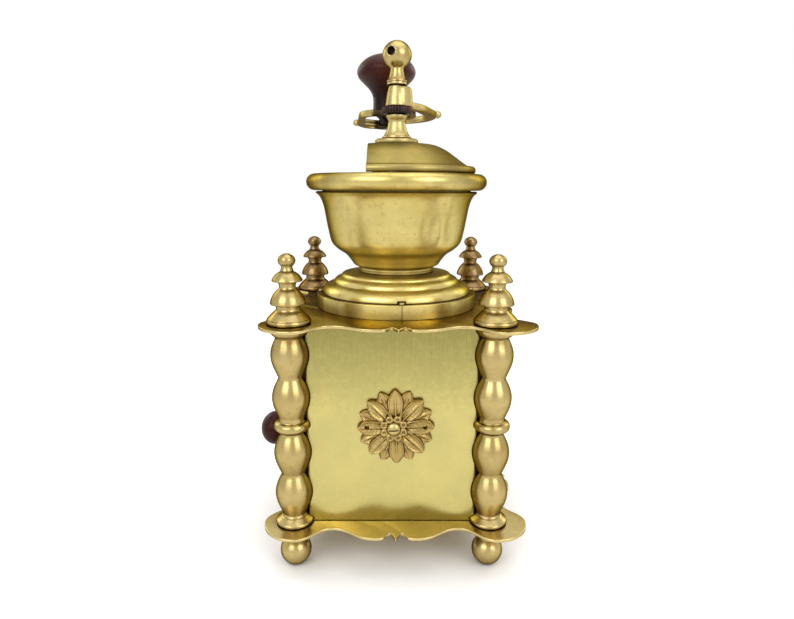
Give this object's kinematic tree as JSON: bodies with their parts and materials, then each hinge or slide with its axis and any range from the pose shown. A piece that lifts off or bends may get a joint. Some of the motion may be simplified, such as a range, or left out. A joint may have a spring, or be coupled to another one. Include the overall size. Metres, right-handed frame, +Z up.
{
  "type": "manual coffee grinder",
  "caption": "Hand coffee grinder: posted brass case with a drawer, conical burr, round hopper under a half-open dome lid, and an openwork crank with a wooden handle.",
  "frame": {"origin": "middle of the outer box in plan, on the surface that the feet stand on", "axes": "+Z up along the grinding axis; -Y towards the panel with the rosette; -X the way the drawer pulls out; at rest the crank points to +Y"},
  "size_m": [0.1474, 0.1926, 0.2825],
  "materials": {
    "turned_brass": "satin, turned",
    "sheet_brass": "satin, brushed upwards",
    "spun_brass": "satin, spun, lightly tarnished",
    "cast_brass": "satin, cast",
    "dark_steel": "dark, oiled",
    "burr_iron": "rough cast",
    "bright_steel": "satin",
    "stained_wood": "dark red-brown, lacquered"
  },
  "bodies": {
    "case": {"foot_front_left": "turned_brass", "foot_front_right": "turned_brass", "foot_rear_left": "turned_brass", "foot_rear_right": "turned_brass", "post_front_left": "turned_brass", "post_front_right": "turned_brass", "post_rear_left": "turned_brass", "post_rear_right": "turned_brass", "finial_front_left": "turned_brass", "finial_front_right": "turned_brass", "finial_rear_left": "turned_brass", "finial_rear_right": "turned_brass", "bottom_plate": "sheet_brass", "top_plate": "sheet_brass", "front_panel": "sheet_brass", "rear_panel": "sheet_brass", "right_panel": "sheet_brass", "left_panel": "sheet_brass", "drawer_runner_front": "sheet_brass", "drawer_runner_rear": "sheet_brass", "hopper_band": "spun_brass", "hopper_base": "spun_brass", "hopper_bowl": "spun_brass", "lid_rim": "spun_brass", "lid_dome": "spun_brass", "rosette": "cast_brass", "rosette_screw": "cast_brass", "bearing_sleeve": "turned_brass", "bearing_collar": "turned_brass", "band_screw_1": "turned_brass", "band_screw_2": "turned_brass", "band_screw_3": "turned_brass", "band_screw_4": "turned_brass", "burr_housing": "burr_iron", "lower_bridge": "burr_iron", "tie_rod_front_left": "bright_steel", "tie_rod_front_right": "bright_steel", "tie_rod_rear_left": "bright_steel", "tie_rod_rear_right": "bright_steel", "burr_screw_1": "bright_steel", "burr_screw_2": "bright_steel", "burr_screw_3": "bright_steel", "burr_screw_4": "bright_steel", "rosette_nut": "bright_steel", "sleeve_nut": "bright_steel"},
    "crank": {"crank_arm": "cast_brass", "adjusting_nut": "dark_steel", "crank_washer": "dark_steel", "ball_nut": "turned_brass", "handle_pin": "dark_steel"},
    "handle": {"crank_handle": "stained_wood"},
    "spindle": {"drive_shaft": "bright_steel", "inner_burr": "burr_iron", "burr_nut": "bright_steel"},
    "drawer": {"drawer_front": "sheet_brass", "drawer_tray": "sheet_brass", "drawer_knob": "stained_wood", "knob_screw": "bright_steel"},
    "shutter": {"lid_shutter": "spun_brass"}
  },
  "joints": [
    {"name": "crank_turn", "type": "hinge", "parent": "case", "child": "crank", "pos_m": [0.00525, -0.02879, 0.2348], "axis": [0, 0, 1], "continuous": true},
    {"name": "handle_spin", "type": "hinge", "parent": "crank", "child": "handle", "pos_m": [-0.00153, 0.07599, 0.262], "axis": [0, 0, 1], "continuous": true},
    {"name": "grind_adjust", "type": "slide", "parent": "crank", "child": "spindle", "axis": [0, 0, 1], "range_m": [-0.002, 0.0015]},
    {"name": "drawer_slide", "type": "slide", "parent": "case", "child": "drawer", "axis": [-1, 0, 0], "range_m": [0, 0.075]},
    {"name": "shutter_turn", "type": "hinge", "parent": "case", "child": "shutter", "pos_m": [0.00525, -0.02879, 0.213], "axis": [0, 0, 1], "continuous": true}
  ]
}
